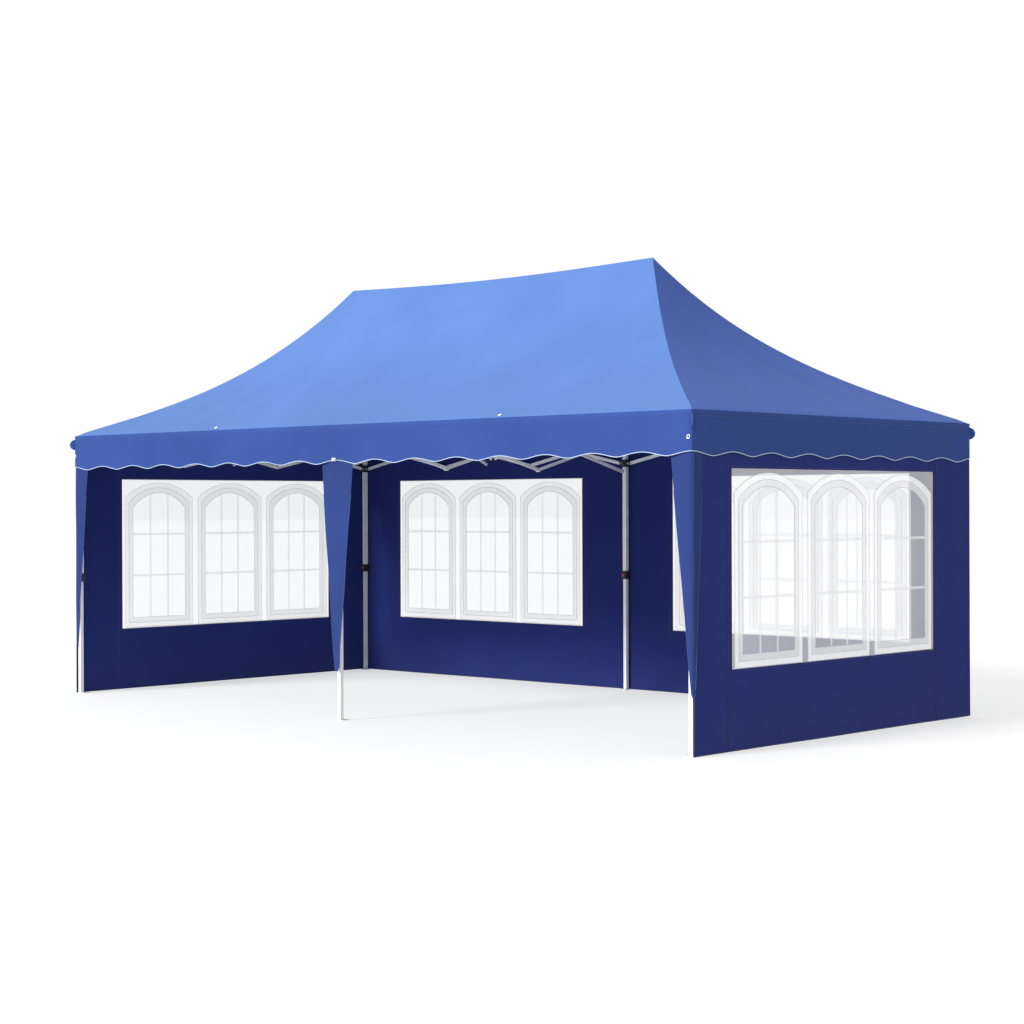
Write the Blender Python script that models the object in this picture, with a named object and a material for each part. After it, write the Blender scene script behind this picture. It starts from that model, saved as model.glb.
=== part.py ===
"""Pop up gazebo: folding steel scissor frame, fabric canopy and three clip-on walls.

Metres, +Z up. X runs along the length, the open front faces -Y, and the origin lies on
the ground at the centre of the footprint. Every leg is a telescopic pair of square
tubes. Two neighbouring legs are joined by a bay of three scissor pairs: in each pair a
falling bar runs from the upper pivot nearer the bay's first leg down to the lower pivot
further along, and a rising bar crosses it.
"""

import math

import bmesh
import bpy
from mathutils import Vector

# ---- driving dimensions ----------------------------------------------------------
BAY = 2.93                 # distance between neighbouring leg axes
HALF_LENGTH = BAY          # end legs stand this far from the middle legs
HALF_DEPTH = BAY / 2       # front and back legs stand this far from the centre line

PAIRS = 3                  # scissor pairs in one bay
PIVOT_REACH = 0.038        # leg axis to the first pivot of a bay
UPPER_PIVOT_Z = 1.930      # pivots on the fixed heads
TRUSS_DEPTH = 0.200        # upper pivot to lower pivot with the frame open
BAR_DEPTH = 0.024          # bar section, seen from the side
BAR_THICKNESS = 0.0116     # bar section, across the truss
BAR_GAP = 0.0008           # between the two planes of bars

OUTER_TUBE = 0.032         # upper leg tube, square
OUTER_WALL = 0.0012
INNER_TUBE = 0.0275        # lower leg tube, square
INNER_WALL = 0.0012
OUTER_BOTTOM_Z = 0.875
HEAD_WIDTH = 0.044         # plastic head on the upper tube
HEAD_BOTTOM_Z = 1.895
HEAD_TOP_Z = 1.940
COUPLER_WIDTH = 0.046      # height-lock coupler on the lower end of the upper tube
COUPLER_HEIGHT = 0.062
COUPLER_BOTTOM_Z = 0.845
SLIDER_WIDTH = 0.046
SLIDER_HEIGHT = 0.056
SLIDER_BORE = 0.0332
CHEEK_THICKNESS = 0.0044   # side plates that hold the bars
CHEEK_HEIGHT = 0.028
CHEEK_END = 0.050          # leg axis to the end of the plates
CHEEK_ROOT = 0.002         # the plates start this far inside the collar
CHEEK_PLAY = 0.0006        # between a bar and the plate beside it
INNER_TOP_Z = 1.040
FOOT_THICKNESS = 0.004
FOOT_INWARD = 0.050        # the foot plate reaches this far inside the leg axis
FOOT_MIDDLE_HALF = 0.033   # half length of a middle leg's plate, along the front or back
BODY_OVERLAP = 0.010       # how far joined or cut bodies run into each other
TUBE_END_CAP = 0.005       # solid end of the upper tube, under the head

CANOPY_X = 2.970           # half length of the canopy at the eave
CANOPY_Y = 1.505           # half depth of the canopy at the eave
FABRIC = 0.006             # thickness of the canopy shell
EAVE_Z = 1.945
PEAK_Z = 3.050
RIDGE_HALF = 1.465         # half length of the ridge, peak to peak
RIDGE_SAG = 0.025
ROOF_STRAIGHT = 0.58       # share of the rise that is straight; the rest curves up late
ROOF_CURVE = 3.2           # power of the part that curves
VALANCE_DEPTH = 0.268      # eave to the low points of the scallops
SCALLOP_RISE = 0.040
SCALLOPS_LONG = 16
SCALLOPS_SHORT = 8
POINTS_PER_SCALLOP = 4
STOP_GAP = 0.030           # no scallop point this close to the edge of a cover
ROOF_RINGS = (0.0, 0.10, 0.26, 0.46, 0.66, 0.84, 0.94, 1.0)

COVER_HALF_WIDTH = 0.165   # leg cover tongue, where it leaves the valance
COVER_TIP_HALF = 0.022
COVER_TIP_Z = 0.330
SIDE_COVER_WIDTH = 0.100   # the narrower wing of a corner cover, on the end side

WALL = 0.004               # thickness of a wall
END_WALL_X = 2.956         # inner face of the end walls
BACK_WALL_Y = 1.491        # inner face of the back wall
WALL_BOTTOM_Z = 0.006
WALL_TOP_Z = 1.925
WALL_CORNER_GAP = 0.004

POLE_RADIUS = 0.0125
POLE_BOTTOM_Z = 2.060
POLE_CAP_RADIUS = 0.022
POLE_CAP_NECK = 0.010      # height of the cone under the cap
POLE_CAP_TOP_Z = 3.014
POLE_SIDES = 16

# ---- derived ---------------------------------------------------------------------
PAIR_WIDTH = (BAY - 2 * PIVOT_REACH) / PAIRS
BAR_OFFSET = (BAR_THICKNESS + BAR_GAP) / 2
LOWER_PIVOT_Z = UPPER_PIVOT_Z - TRUSS_DEPTH
CHEEK_INNER = BAR_THICKNESS + BAR_GAP / 2 + CHEEK_PLAY

MERGE = 0.00002            # points closer than this are one

UP = Vector((0, 0, 1))
LEGS = {
    "front_left": (-1, -1), "front_middle": (0, -1), "front_right": (1, -1),
    "back_left": (-1, 1), "back_middle": (0, 1), "back_right": (1, 1),
}
# bay name: (first leg, direction to the second leg)
BAYS = {
    "back_left": ("back_middle", (-1, 0)),
    "back_right": ("back_middle", (1, 0)),
    "left_end": ("back_left", (0, -1)),
    "right_end": ("back_right", (0, -1)),
    "front_left": ("front_left", (1, 0)),
    "front_right": ("front_right", (-1, 0)),
}


def leg_axis(leg):
    side, depth = LEGS[leg]
    return Vector((side * HALF_LENGTH, depth * HALF_DEPTH, 0))


def truss_directions(leg):
    """The ways in which bays leave this leg, as plan unit vectors."""
    side, depth = LEGS[leg]
    if side == 0:
        return [Vector((-1, 0, 0)), Vector((1, 0, 0))]
    return [Vector((-side, 0, 0)), Vector((0, -depth, 0))]


def material(name, colour, roughness, metallic):
    made = bpy.data.materials.new(name)
    made.use_nodes = True
    shader = made.node_tree.nodes["Principled BSDF"]
    shader.inputs["Base Color"].default_value = (*colour, 1.0)
    shader.inputs["Roughness"].default_value = roughness
    shader.inputs["Metallic"].default_value = metallic
    made.diffuse_color = (*colour, 1.0)
    return made


def add_object(name, mesh, location, made_of):
    thing = bpy.data.objects.new(name, mesh)
    thing.location = location
    bpy.context.scene.collection.objects.link(thing)
    mesh.materials.clear()
    mesh.materials.append(made_of)
    return thing


def box_mesh(low, high):
    """A box between two opposite corners."""
    bm = bmesh.new()
    bmesh.ops.create_cube(bm, size=1.0)
    size = [h - l for l, h in zip(low, high)]
    middle = [(h + l) / 2 for l, h in zip(low, high)]
    bmesh.ops.scale(bm, vec=size, verts=bm.verts)
    bmesh.ops.translate(bm, vec=middle, verts=bm.verts)
    mesh = bpy.data.meshes.new("box")
    bm.to_mesh(mesh)
    bm.free()
    return mesh


def square_box(width, bottom, top):
    """A box on the local Z axis."""
    return box_mesh((-width / 2, -width / 2, bottom), (width / 2, width / 2, top))


def combined(first, others, operation):
    """The mesh of first after a Boolean with each of the other meshes."""
    base = bpy.data.objects.new("boolean_base", first)
    bpy.context.scene.collection.objects.link(base)
    tools = []
    for mesh in others:
        tool = bpy.data.objects.new("boolean_tool", mesh)
        bpy.context.scene.collection.objects.link(tool)
        cut = base.modifiers.new("cut", "BOOLEAN")
        cut.operation = operation
        cut.object = tool
        tools.append(tool)
    graph = bpy.context.evaluated_depsgraph_get()
    result = bpy.data.meshes.new_from_object(base.evaluated_get(graph))
    for thing in [base, *tools]:
        bpy.data.objects.remove(thing)
    return result


def cheeks(directions, pivot_z, start):
    """Pairs of side plates that reach from start to CHEEK_END, one pair per direction."""
    plates = []
    for way in directions:
        across = UP.cross(way)
        for side in (-1, 1):
            near = way * start + across * side * CHEEK_INNER
            far = way * CHEEK_END + across * side * (CHEEK_INNER + CHEEK_THICKNESS)
            low = [min(a, b) for a, b in zip(near, far)]
            high = [max(a, b) for a, b in zip(near, far)]
            low[2] = pivot_z - CHEEK_HEIGHT / 2
            high[2] = pivot_z + CHEEK_HEIGHT / 2
            plates.append(box_mesh(low, high))
    return plates


def outer_leg(leg, steel):
    """Upper tube with its head and height-lock coupler, open at the bottom."""
    cheek_z = HEAD_TOP_Z - CHEEK_HEIGHT / 2
    tube = square_box(OUTER_TUBE, OUTER_BOTTOM_Z, HEAD_BOTTOM_Z + BODY_OVERLAP)
    extras = [
        square_box(HEAD_WIDTH, HEAD_BOTTOM_Z, HEAD_TOP_Z),
        square_box(COUPLER_WIDTH, COUPLER_BOTTOM_Z, COUPLER_BOTTOM_Z + COUPLER_HEIGHT),
        *cheeks(truss_directions(leg), cheek_z, HEAD_WIDTH / 2 - CHEEK_ROOT),
    ]
    mesh = combined(tube, extras, "UNION")
    bore = square_box(OUTER_TUBE - 2 * OUTER_WALL, COUPLER_BOTTOM_Z - BODY_OVERLAP,
                      HEAD_BOTTOM_Z - TUBE_END_CAP)
    mesh = combined(mesh, [bore], "DIFFERENCE")
    return add_object("outer_leg_" + leg, mesh, leg_axis(leg), steel)


def inner_leg(leg, steel):
    """Lower tube, open at the top, welded to its foot plate."""
    side, depth = LEGS[leg]
    outward = OUTER_TUBE / 2
    low = [-FOOT_MIDDLE_HALF, -outward, 0.0]
    high = [FOOT_MIDDLE_HALF, FOOT_INWARD, FOOT_THICKNESS]
    if depth > 0:
        low[1], high[1] = -FOOT_INWARD, outward
    if side:
        low[0], high[0] = (-FOOT_INWARD, outward) if side > 0 else (-outward, FOOT_INWARD)
    tube = square_box(INNER_TUBE, FOOT_THICKNESS / 2, INNER_TOP_Z)
    mesh = combined(tube, [box_mesh(low, high)], "UNION")
    bore = square_box(INNER_TUBE - 2 * INNER_WALL, FOOT_THICKNESS * 2,
                      INNER_TOP_Z + BODY_OVERLAP)
    mesh = combined(mesh, [bore], "DIFFERENCE")
    return add_object("inner_leg_" + leg, mesh, leg_axis(leg), steel)


def slider(leg, plastic):
    """Collar that runs on the upper tube and carries the lower pivots."""
    half = SLIDER_HEIGHT / 2
    mesh = combined(square_box(SLIDER_WIDTH, -half, half),
                    cheeks(truss_directions(leg), 0.0, SLIDER_WIDTH / 2 - CHEEK_ROOT), "UNION")
    bore = square_box(SLIDER_BORE, -2 * half, 2 * half)
    mesh = combined(mesh, [bore], "DIFFERENCE")
    place = leg_axis(leg) + UP * LOWER_PIVOT_Z
    return add_object("slider_" + leg, mesh, place, plastic)


def bar_mesh(way, start, end, plane, origin):
    """A flat bar with round ends between two pivots, in the plane offset across the truss."""
    across = UP.cross(way)
    along = (end - start).normalized()
    rise = across.cross(along)
    outline = []
    for centre, first in ((end, -90), (start, 90)):
        for step in range(7):
            turn = math.radians(first + 30 * step)
            offset = along * math.cos(turn) + rise * math.sin(turn)
            outline.append(centre + offset * BAR_DEPTH / 2)
    near = across * (plane * BAR_OFFSET - BAR_THICKNESS / 2)
    bm = bmesh.new()
    face = bm.faces.new([bm.verts.new(point + near - origin) for point in outline])
    drawn = bmesh.ops.extrude_face_region(bm, geom=[face])["geom"]
    bmesh.ops.translate(bm, vec=across * BAR_THICKNESS,
                        verts=[v for v in drawn if isinstance(v, bmesh.types.BMVert)])
    bmesh.ops.recalc_face_normals(bm, faces=bm.faces)
    mesh = bpy.data.meshes.new("bar")
    bm.to_mesh(mesh)
    bm.free()
    return mesh


def scissor_bay(bay, steel):
    """Three falling bars in one plane and three rising bars in the other.

    Each bar's origin is the pivot that hangs it on the bar or leg before it.
    """
    first_leg, plan = BAYS[bay]
    way = Vector((*plan, 0))
    root = leg_axis(first_leg) + way * PIVOT_REACH
    upper = [root + way * PAIR_WIDTH * i + UP * UPPER_PIVOT_Z for i in range(PAIRS + 1)]
    lower = [point - UP * TRUSS_DEPTH for point in upper]
    falling_origin = [upper[0], upper[1], upper[2]]
    rising_origin = [(upper[0] + lower[1]) / 2, lower[1], lower[2]]
    for i in range(PAIRS):
        number = str(i + 1)
        mesh = bar_mesh(way, upper[i], lower[i + 1], -1, falling_origin[i])
        add_object(bay + "_falling_bar_" + number, mesh, falling_origin[i], steel)
        mesh = bar_mesh(way, lower[i], upper[i + 1], 1, rising_origin[i])
        add_object(bay + "_rising_bar_" + number, mesh, rising_origin[i], steel)


def peak_pole(name, side, steel):
    """Round pole with a domed cap that pushes the canopy up at one end of the ridge."""
    cap_bottom = POLE_CAP_TOP_Z - POLE_CAP_RADIUS
    profile = [(0.0, POLE_BOTTOM_Z), (POLE_RADIUS, POLE_BOTTOM_Z),
               (POLE_RADIUS, cap_bottom - 2 * POLE_CAP_NECK),
               (POLE_CAP_RADIUS, cap_bottom - POLE_CAP_NECK)]
    for step in range(5):
        turn = math.radians(22.5 * step)
        profile.append((POLE_CAP_RADIUS * math.cos(turn),
                        cap_bottom + POLE_CAP_RADIUS * math.sin(turn)))
    profile[-1] = (0.0, POLE_CAP_TOP_Z)
    bm = bmesh.new()
    points = [bm.verts.new((r, 0, z - POLE_BOTTOM_Z)) for r, z in profile]
    edges = [bm.edges.new(pair) for pair in zip(points, points[1:])]
    bmesh.ops.spin(bm, geom=points + edges, cent=(0, 0, 0), axis=(0, 0, 1),
                   angle=2 * math.pi, steps=POLE_SIDES, use_merge=True)
    bmesh.ops.remove_doubles(bm, verts=bm.verts, dist=MERGE)
    bmesh.ops.recalc_face_normals(bm, faces=bm.faces)
    mesh = bpy.data.meshes.new(name)
    bm.to_mesh(mesh)
    bm.free()
    mesh.shade_smooth()
    mesh.set_sharp_from_angle(angle=math.radians(40))
    return add_object(name, mesh, (side * RIDGE_HALF, 0, POLE_BOTTOM_Z), steel)


def roof_height(share):
    """Height over the eave at a share of the way up: fabric hangs hollow to the peaks."""
    return (PEAK_Z - EAVE_Z) * (
        ROOF_STRAIGHT * share + (1 - ROOF_STRAIGHT) * share ** ROOF_CURVE)


def valance_edge(along, scallops, half, covers):
    """Lower edge of the valance at a plan coordinate along a side of this half length."""
    turn = (along + half) / (2 * half) * scallops * 2 * math.pi
    scallop = EAVE_Z - VALANCE_DEPTH + SCALLOP_RISE * (0.5 + 0.5 * math.cos(turn))
    lowest = scallop
    for centre, width in covers:
        away = abs(along - centre)
        if away < width:
            share = max(away - COVER_TIP_HALF, 0) / (width - COVER_TIP_HALF)
            lowest = min(lowest, COVER_TIP_Z + (scallop - COVER_TIP_Z) * share)
    return lowest


def side_stops(half, scallops, covers):
    """Plan coordinates along one side: an even share of each scallop, and the covers' edges."""
    count = scallops * POINTS_PER_SCALLOP
    stops = {round(-half + 2 * half * i / count, 5) for i in range(count)}
    for centre, width in covers:
        for edge in (-width, -COVER_TIP_HALF, COVER_TIP_HALF, width):
            spot = centre + edge
            if -half < spot < half:
                stops = {s for s in stops if abs(s - spot) > STOP_GAP or s == -half}
                stops.add(round(spot, 5))
    return sorted(stops)


def canopy(fabric):
    """Hipped roof, scalloped valance and the tongues that cover the front legs, one shell."""
    front = [(-CANOPY_X, COVER_HALF_WIDTH), (0.0, COVER_HALF_WIDTH),
             (CANOPY_X, COVER_HALF_WIDTH)]
    end = [(-CANOPY_Y, SIDE_COVER_WIDTH)]
    xs = side_stops(CANOPY_X, SCALLOPS_LONG, front)
    ys = side_stops(CANOPY_Y, SCALLOPS_SHORT, end)
    edge = []  # (x, y, lower edge) once round, against the clock seen from above
    for x in xs:
        edge.append((x, -CANOPY_Y, valance_edge(x, SCALLOPS_LONG, CANOPY_X, front)))
    for y in ys:
        edge.append((CANOPY_X, y, valance_edge(y, SCALLOPS_SHORT, CANOPY_Y, end)))
    for x in xs:
        edge.append((-x, CANOPY_Y, valance_edge(x, SCALLOPS_LONG, CANOPY_X, [])))
    for y in [CANOPY_Y] + ys[:0:-1]:
        edge.append((-CANOPY_X, y, valance_edge(y, SCALLOPS_SHORT, CANOPY_Y, end)))
    bm = bmesh.new()
    rows = [[bm.verts.new((x, y, low)) for x, y, low in edge],
            [bm.verts.new((x, y, (EAVE_Z * 2 + low) / 3)) for x, y, low in edge]]
    for share in ROOF_RINGS:
        length = (CANOPY_X - (CANOPY_X - RIDGE_HALF) * share) / CANOPY_X
        depth = 1 - share
        row = []
        for x, y, _ in edge:
            px = x * length
            sag = RIDGE_SAG * share * math.cos(math.pi * px / (2 * RIDGE_HALF)) \
                if abs(px) < RIDGE_HALF else 0.0
            row.append(bm.verts.new((px, y * depth, EAVE_Z + roof_height(share) - sag)))
        rows.append(row)
    count = len(edge)
    for lower, upper in zip(rows, rows[1:]):
        for i in range(count):
            j = (i + 1) % count
            bm.faces.new((lower[i], lower[j], upper[j], upper[i]))
    bmesh.ops.remove_doubles(bm, verts=bm.verts, dist=MERGE)
    bmesh.ops.recalc_face_normals(bm, faces=bm.faces)
    mesh = bpy.data.meshes.new("canopy")
    bm.to_mesh(mesh)
    bm.free()
    mesh.shade_smooth()
    thing = add_object("canopy", mesh, (0, 0, 0), fabric)
    shell = thing.modifiers.new("shell", "SOLIDIFY")
    shell.thickness = FABRIC
    shell.offset = -1
    shell.use_even_offset = True
    return thing


def walls(fabric):
    """Three flat panels, hung inside the valance, from the eave to the ground."""
    reach = BACK_WALL_Y - WALL_CORNER_GAP
    for name, side in (("left_wall", -1), ("right_wall", 1)):
        near, far = sorted((side * END_WALL_X, side * (END_WALL_X + WALL)))
        mesh = box_mesh((near, -reach, WALL_BOTTOM_Z), (far, reach, WALL_TOP_Z))
        add_object(name, mesh, (0, 0, 0), fabric)
    half = END_WALL_X - WALL_CORNER_GAP
    mesh = box_mesh((-half, BACK_WALL_Y, WALL_BOTTOM_Z), (half, BACK_WALL_Y + WALL, WALL_TOP_Z))
    add_object("back_wall", mesh, (0, 0, 0), fabric)


def build():
    for thing in list(bpy.data.objects):
        bpy.data.objects.remove(thing)
    steel = material("grey_steel", (0.52, 0.53, 0.55), 0.42, 0.85)
    plastic = material("black_plastic", (0.02, 0.02, 0.022), 0.5, 0.0)
    roof_cloth = material("blue_canopy_cloth", (0.055, 0.13, 0.45), 0.8, 0.0)
    wall_cloth = material("blue_wall_cloth", (0.03, 0.06, 0.30), 0.8, 0.0)
    for leg in LEGS:
        outer_leg(leg, steel)
        inner_leg(leg, steel)
        slider(leg, plastic)
    for bay in BAYS:
        scissor_bay(bay, steel)
    peak_pole("left_peak_pole", -1, steel)
    peak_pole("right_peak_pole", 1, steel)
    canopy(roof_cloth)
    walls(wall_cloth)


build()
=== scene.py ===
"""Looks of the pop up gazebo: cloth, windows, hardware details, materials, light and camera."""

import math

import bmesh
import bpy
from mathutils import Matrix, Vector


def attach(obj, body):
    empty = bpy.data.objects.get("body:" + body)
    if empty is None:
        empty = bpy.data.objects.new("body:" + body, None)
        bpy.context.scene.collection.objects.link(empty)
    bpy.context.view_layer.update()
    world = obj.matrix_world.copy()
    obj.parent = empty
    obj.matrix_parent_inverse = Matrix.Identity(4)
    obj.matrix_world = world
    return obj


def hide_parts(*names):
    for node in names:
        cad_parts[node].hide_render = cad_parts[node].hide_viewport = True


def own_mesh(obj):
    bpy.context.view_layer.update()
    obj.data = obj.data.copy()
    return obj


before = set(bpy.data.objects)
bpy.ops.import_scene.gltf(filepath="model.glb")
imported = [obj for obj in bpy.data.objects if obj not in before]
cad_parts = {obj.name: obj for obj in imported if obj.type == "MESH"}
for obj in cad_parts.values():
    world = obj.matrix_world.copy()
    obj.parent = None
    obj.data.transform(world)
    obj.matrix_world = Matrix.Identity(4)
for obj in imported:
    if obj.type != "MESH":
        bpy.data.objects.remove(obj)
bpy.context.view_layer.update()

# ---- dimensions shared with the frame --------------------
BAY = 2.93                  # from leg axis to leg axis
HALF_DEPTH = BAY / 2
PIVOT_REACH = 0.038         # from a leg's axis to the pivots on its head and slider
PAIRS = 3                   # scissor pairs in a bay
UPPER_Z = 1.930             # height of the upper pivots
TRUSS = 0.200               # drop from the upper to the lower pivots
PAIR_WIDTH = (BAY - 2 * PIVOT_REACH) / PAIRS
BAR_LENGTH = math.hypot(PAIR_WIDTH, TRUSS)
BAR_ANGLE = math.asin(TRUSS / BAR_LENGTH)
BAR_OUTER = 0.0120          # outer face of a bar, from the truss plane
FOLD = math.radians(76.0)   # range of frame_fold
FOLDED_BAY = 2 * PIVOT_REACH + PAIRS * BAR_LENGTH * math.cos(BAR_ANGLE + FOLD)
COLLAPSE = FOLDED_BAY / BAY

CX, CY = 2.968, 1.503       # canopy half sizes at the eave
EAVE = 1.946
PEAK = 3.050
RIDGE = 1.465               # half length of the ridge
SAG = 0.030                 # drop of the ridge between the peaks
RISE_STRAIGHT = 0.58        # share of the rise that is straight; the rest is steep at the top
RISE_POWER = 3.2
RIPPLE = 0.0035             # folds that run down from the peaks
BILLOW = 0.0040             # broad waves in the slopes
BELLY = 0.010               # slack between the bars above the eave
VALANCE = 0.258
SCALLOP = 0.025
EAVE_ROUND = 0.022          # the cloth turns over the top bars with this radius
EAVE_DROP = 0.004
EAVE_INSET = 0.009
EAVE_TURN = 0.030           # share of the roof that the turn takes up
CORNER_RADIUS = 0.035
SCALLOPS = {"long": 16, "short": 8}
# what is left of the valances' length when the frame is folded
LONG_KEEP = (FOLDED_BAY + CX - BAY) / CX
SHORT_KEEP = (FOLDED_BAY + 2 * (CY - HALF_DEPTH)) / (2 * CY)

WALL_X = 2.958
WALL_Y = 1.493
WALL_TOP = 1.925
WALL_LOW = 0.0015
WINDOW_LOW, WINDOW_TOP = 0.470, 1.620
HEAD_LOW, LOCK_TOP = 1.8945, 0.9075   # the black ends of an upper leg

LEGS = {
    "front_left": (-1, -1), "front_middle": (0, -1), "front_right": (1, -1),
    "back_left": (-1, 1), "back_middle": (0, 1), "back_right": (1, 1),
}
BAYS = {
    "back_left": ("back_middle", (-1, 0)), "back_right": ("back_middle", (1, 0)),
    "left_end": ("back_left", (0, -1)), "right_end": ("back_right", (0, -1)),
    "front_left": ("front_left", (1, 0)), "front_right": ("front_right", (-1, 0)),
}
UP = Vector((0, 0, 1))


def leg_axis(leg):
    side, depth = LEGS[leg]
    return Vector((side * BAY, depth * HALF_DEPTH, 0))


THREADS = 900.0             # of the cloth's weave, to a metre

# ---- material building --------------------
def new_material(name, viewport):
    made = bpy.data.materials.new(name)
    made.use_nodes = True
    made.diffuse_color = (*viewport, 1)
    return made, made.node_tree, made.node_tree.nodes["Principled BSDF"]


def plug(tree, node, **inputs):
    """Set or link a node's inputs; an underscore in a keyword is a space in the input's name."""
    for key, value in inputs.items():
        slot = node.inputs[key.replace("_", " ")]
        if isinstance(value, bpy.types.NodeSocket):
            tree.links.new(value, slot)
        else:
            slot.default_value = value


def add(tree, kind, **inputs):
    made = tree.nodes.new("ShaderNode" + kind)
    plug(tree, made, **inputs)
    return made


def ramp(tree, factor, stops):
    made = add(tree, "ValToRGB", Fac=factor)
    elements = made.color_ramp.elements
    while len(elements) > 1:
        elements.remove(elements[-1])
    elements[0].position = stops[0][0]
    elements[0].color = (*stops[0][1], 1)
    for place, colour in stops[1:]:
        elements.new(place).color = (*colour, 1)
    return made.outputs["Color"]


def maths(tree, operation, *terms, clamp=False):
    made = add(tree, "Math")
    made.operation = operation
    made.use_clamp = clamp
    for slot, value in zip(made.inputs, terms):
        if isinstance(value, (int, float)):
            slot.default_value = value
        else:
            tree.links.new(value, slot)
    return made.outputs[0]


def mix_colour(tree, factor, a, b, blend="MIX"):
    made = add(tree, "Mix")
    made.data_type = "RGBA"
    made.blend_type = blend
    for slot, value in ((0, factor), (6, a), (7, b)):
        if isinstance(value, (int, float)):
            made.inputs[slot].default_value = value
        elif isinstance(value, tuple):
            made.inputs[slot].default_value = (*value, 1)
        else:
            tree.links.new(value, made.inputs[slot])
    return made.outputs[2]


def noise(tree, coordinates, scale, detail=3.0, stretch=None):
    if stretch:
        coordinates = add(tree, "Mapping", Scale=stretch, Vector=coordinates).outputs["Vector"]
    return add(tree, "TexNoise", Scale=scale, Detail=detail, Vector=coordinates).outputs["Fac"]


def spread(tree, value, low, high, start=0.0, stop=1.0):
    """The value moved from the range start to stop into the range low to high."""
    made = add(tree, "MapRange", Value=value, From_Min=start, From_Max=stop,
               To_Min=low, To_Max=high)
    return made.outputs[0]


def axes(tree, vector):
    return add(tree, "SeparateXYZ", Vector=vector).outputs


def bump(tree, height, strength, distance, **under):
    made = add(tree, "Bump", Strength=strength, Distance=distance, Height=height, **under)
    return made.outputs["Normal"]


def shade(colour, share):
    return tuple(c * share for c in colour)


def cloth_material(name, colour, dark, pale, sheen):
    """Coated plain-weave polyester: thread bump, faint slubs, dust towards the ground."""
    made, tree, shader = new_material(name, colour)
    where = add(tree, "TexCoord")
    uv, body = where.outputs["UV"], where.outputs["Object"]
    broad = noise(tree, body, 1.3, 4.0)
    slub = maths(tree, "MULTIPLY_ADD", noise(tree, uv, 60.0, 2.0, (1.0, 9.0, 1.0)), 0.22, 0.89)
    slubs = add(tree, "CombineColor", Red=slub, Green=slub, Blue=slub)
    base = ramp(tree, broad, [(0.30, dark), (0.52, colour), (0.78, pale)])
    base = mix_colour(tree, 1.0, base, slubs.outputs[0], "MULTIPLY")
    near_ground = spread(tree, axes(tree, body)[2], 0.0, 1.0, 0.32, 0.0)
    dust = maths(tree, "MULTIPLY", near_ground, noise(tree, body, 7.0, 5.0))
    dust = maths(tree, "MULTIPLY", dust, 0.10, clamp=True)
    # plain weave: two crossed sets of threads
    warp, weft = [maths(tree, "SINE", maths(tree, "MULTIPLY", axis, THREADS * 2 * math.pi))
                  for axis in axes(tree, uv)[:2]]
    weave = maths(tree, "MULTIPLY", maths(tree, "MULTIPLY", warp, weft), 0.35)
    threads = bump(tree, maths(tree, "ADD", weave, noise(tree, uv, 420.0, 2.0)), 0.22, 0.0006)
    creases = noise(tree, body, 5.0, 6.0, (1.0, 1.0, 0.35))
    plug(tree, shader, Base_Color=mix_colour(tree, dust, base, (0.10, 0.10, 0.12)),
         Normal=bump(tree, creases, 0.32, 0.012, Normal=threads),
         Roughness=spread(tree, broad, 0.58, 0.78), Sheen_Weight=sheen, Sheen_Roughness=0.45,
         Sheen_Tint=(0.55, 0.70, 1.0, 1), Specular_IOR_Level=0.04)
    return made


def steel_material(name, colour, black_ends=False):
    """Powder-coated steel; on the upper legs the head and the coupler are black plastic."""
    made, tree, shader = new_material(name, colour)
    body = add(tree, "TexCoord").outputs["Object"]
    blotch = noise(tree, body, 9.0, 5.0)
    scratch = spread(tree, noise(tree, body, 55.0, 6.0, (7.0, 7.0, 0.25)), 0.0, 1.0, 0.66, 0.74)
    base = ramp(tree, blotch, [(0.3, shade(colour, 0.86)), (0.7, colour)])
    base = mix_colour(tree, maths(tree, "MULTIPLY", scratch, 0.5), base, (0.33, 0.33, 0.34))
    rough = maths(tree, "MULTIPLY_ADD", blotch, 0.22, 0.28)
    if black_ends:
        height = axes(tree, body)[2]
        black = maths(tree, "MAXIMUM", maths(tree, "GREATER_THAN", height, HEAD_LOW),
                      maths(tree, "LESS_THAN", height, LOCK_TOP))
        dark = ramp(tree, blotch, [(0.3, (0.012, 0.012, 0.013)), (0.7, (0.024, 0.024, 0.026))])
        base = mix_colour(tree, black, base, dark)
        rough = maths(tree, "MAXIMUM", rough, maths(tree, "MULTIPLY", black, 0.5))
    plug(tree, shader, Base_Color=base, Roughness=rough, Metallic=0.10,
         Normal=bump(tree, noise(tree, body, 900.0, 2.0), 0.12, 0.0004))
    return made


def plastic_material(name, colour, roughness):
    """Moulded plastic with a fine spark-eroded grain and handling marks."""
    made, tree, shader = new_material(name, colour)
    body = add(tree, "TexCoord").outputs["Object"]
    rub = noise(tree, body, 40.0, 5.0)
    pale = tuple(min(c * 1.8 + 0.01, 1.0) for c in colour)
    plug(tree, shader, Base_Color=ramp(tree, rub, [(0.35, colour), (0.8, pale)]),
         Roughness=maths(tree, "MULTIPLY_ADD", rub, 0.25, roughness - 0.12),
         Normal=bump(tree, noise(tree, body, 1400.0, 2.0), 0.25, 0.0003))
    return made


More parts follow.
